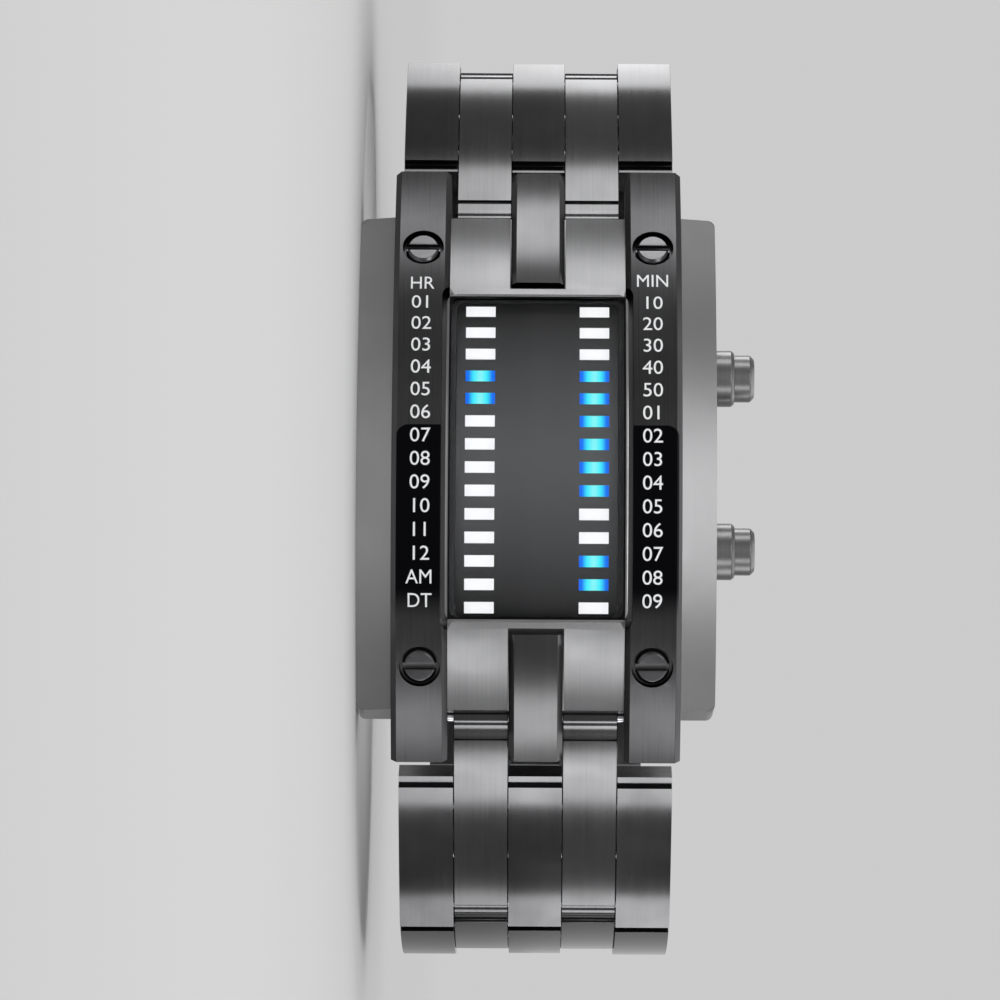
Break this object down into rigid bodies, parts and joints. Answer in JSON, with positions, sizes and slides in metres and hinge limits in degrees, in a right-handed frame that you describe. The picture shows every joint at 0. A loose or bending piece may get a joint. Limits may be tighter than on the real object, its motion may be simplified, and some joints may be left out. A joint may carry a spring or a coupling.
{
  "type": "led watch",
  "caption": "Bracelet wristwatch whose hours and minutes show as lit marks in two columns under a dark curved window, with side pushers and a folding clasp.",
  "frame": {"origin": "centre of the bounding box in X and Y, at the height of the case side opposite the pushers, on which the watch lies", "axes": "+Z from 9 to 3 o'clock, which is up while the watch lies on its side; the face looks along -Y; +X from 12 to 6 o'clock"},
  "size_m": [0.089, 0.0622, 0.0377],
  "materials": {
    "dark_case_steel": "dark grey coating, finely brushed along the case",
    "rail_steel": "dark grey coating, satin, glossier beside the display",
    "outer_link_steel": "dark grey coating, satin",
    "inner_link_steel": "dark grey coating, brushed lengthwise",
    "brushed_back_steel": "brushed lengthwise",
    "polished_steel": "dark grey coating, polished",
    "pin_steel": "ground",
    "blade_steel": "brushed lengthwise",
    "dark_crystal": "polished mineral glass, darkly tinted",
    "seal_rubber": "matte",
    "display_mask": "matte black",
    "white_window": "matte white",
    "blue_window": "lit blue",
    "board_green": "solder mask",
    "component_black": "moulded",
    "holder_plastic": "moulded, off-white",
    "cell_steel": "plain",
    "contact_brass": "plain"
  },
  "bodies": {
    "case": {"case_body": "dark_case_steel", "hour_rail": "rail_steel", "minute_rail": "rail_steel", "rail_screws": "polished_steel", "upper_centre_strip": "dark_case_steel", "lower_centre_strip": "dark_case_steel", "display_bezel": "polished_steel", "crystal": "dark_crystal", "crystal_gasket": "seal_rubber", "display_mask": "display_mask", "unlit_windows": "white_window", "lit_windows": "blue_window", "circuit_board": "board_green", "board_parts": "component_black", "module_holder": "holder_plastic", "battery_cells": "cell_steel", "battery_contact": "contact_brass", "back_gasket": "seal_rubber", "case_back": "brushed_back_steel", "case_back_screws": "polished_steel", "lug_pins": "pin_steel", "pusher_tubes": "polished_steel", "pusher_seals": "seal_rubber"},
    "upper_pusher": {"upper_pusher": "polished_steel", "upper_pusher_clip": "pin_steel", "upper_pusher_spring": "pin_steel"},
    "lower_pusher": {"lower_pusher": "polished_steel", "lower_pusher_clip": "pin_steel", "lower_pusher_spring": "pin_steel"},
    "upper_link_1": {"upper_link_1_outer": "outer_link_steel", "upper_link_1_inner": "inner_link_steel", "upper_link_1_pins": "pin_steel"},
    "upper_link_2": {"upper_link_2_outer": "outer_link_steel", "upper_link_2_inner": "inner_link_steel", "upper_link_2_pins": "pin_steel"},
    "upper_link_3": {"upper_link_3_outer": "outer_link_steel", "upper_link_3_inner": "inner_link_steel", "upper_link_3_pins": "pin_steel"},
    "lower_link_1": {"lower_link_1_outer": "outer_link_steel", "lower_link_1_inner": "inner_link_steel", "lower_link_1_pins": "pin_steel"},
    "lower_link_2": {"lower_link_2_outer": "outer_link_steel", "lower_link_2_inner": "inner_link_steel", "lower_link_2_pins": "pin_steel"},
    "lower_link_3": {"lower_link_3_outer": "outer_link_steel", "lower_link_3_inner": "inner_link_steel", "lower_link_3_pins": "pin_steel"},
    "cover": {"clasp_cover": "inner_link_steel", "cover_hinge_pin": "pin_steel"},
    "outer_blade": {"outer_blade": "blade_steel", "blade_hinge_pin": "pin_steel"},
    "inner_blade": {"inner_blade": "blade_steel", "catch_pin": "pin_steel"},
    "left_button": {"left_release_button": "polished_steel", "left_button_spring": "pin_steel"},
    "right_button": {"right_release_button": "polished_steel", "right_button_spring": "pin_steel"}
  },
  "joints": [
    {"name": "upper_link_1_hinge", "type": "hinge", "parent": "case", "child": "upper_link_1", "pos_m": [-0.02395, -0.01948, 0.017], "axis": [0, 0, 1], "range_deg": [0, 32]},
    {"name": "upper_link_2_hinge", "type": "hinge", "parent": "upper_link_1", "child": "upper_link_2", "pos_m": [-0.04056, -0.00781, 0.017], "axis": [0, 0, 1], "range_deg": [0, 28]},
    {"name": "upper_link_3_hinge", "type": "hinge", "parent": "upper_link_2", "child": "upper_link_3", "pos_m": [-0.04197, 0.01244, 0.017], "axis": [0, 0, 1], "range_deg": [0, 40]},
    {"name": "lower_link_1_hinge", "type": "hinge", "parent": "case", "child": "lower_link_1", "pos_m": [0.02395, -0.01948, 0.017], "axis": [0, 0, -1], "range_deg": [0, 32]},
    {"name": "lower_link_2_hinge", "type": "hinge", "parent": "lower_link_1", "child": "lower_link_2", "pos_m": [0.04056, -0.00781, 0.017], "axis": [0, 0, -1], "range_deg": [0, 28]},
    {"name": "lower_link_3_hinge", "type": "hinge", "parent": "lower_link_2", "child": "lower_link_3", "pos_m": [0.04197, 0.01244, 0.017], "axis": [0, 0, -1], "range_deg": [0, 40]},
    {"name": "cover_hinge", "type": "hinge", "parent": "lower_link_3", "child": "cover", "pos_m": [0.02535, 0.02409, 0.017], "axis": [0, 0, -1], "range_deg": [0, 50]},
    {"name": "outer_blade_hinge", "type": "hinge", "parent": "cover", "child": "outer_blade", "pos_m": [-0.01695, 0.02692, 0.017], "axis": [0, 0, -1], "range_deg": [0, 10]},
    {"name": "inner_blade_hinge", "type": "hinge", "parent": "outer_blade", "child": "inner_blade", "pos_m": [0.01679, 0.02624, 0.017], "axis": [0, 0, 1], "range_deg": [0, 63.75]},
    {"name": "upper_pusher_press", "type": "slide", "parent": "case", "child": "upper_pusher", "axis": [0, 0, -1], "range_m": [0, 0.001], "stiffness_N_per_m": 1500, "springref_m": -0.0005, "deforming": ["upper_pusher_spring"]},
    {"name": "lower_pusher_press", "type": "slide", "parent": "case", "child": "lower_pusher", "axis": [0, 0, -1], "range_m": [0, 0.001], "stiffness_N_per_m": 1500, "springref_m": -0.0005, "deforming": ["lower_pusher_spring"]},
    {"name": "left_button_press", "type": "slide", "parent": "cover", "child": "left_button", "axis": [0, 0, 1], "range_m": [0, 0.0007], "stiffness_N_per_m": 1200, "springref_m": -0.0005, "deforming": ["left_button_spring"]},
    {"name": "right_button_press", "type": "slide", "parent": "cover", "child": "right_button", "axis": [0, 0, -1], "range_m": [0, 0.0007], "stiffness_N_per_m": 1200, "springref_m": -0.0005, "deforming": ["right_button_spring"]}
  ],
  "couplings": [
    {"joint": "outer_blade_hinge", "follows": "cover_hinge", "ratio": 0.2},
    {"joint": "inner_blade_hinge", "follows": "cover_hinge", "ratio": 1.275}
  ]
}
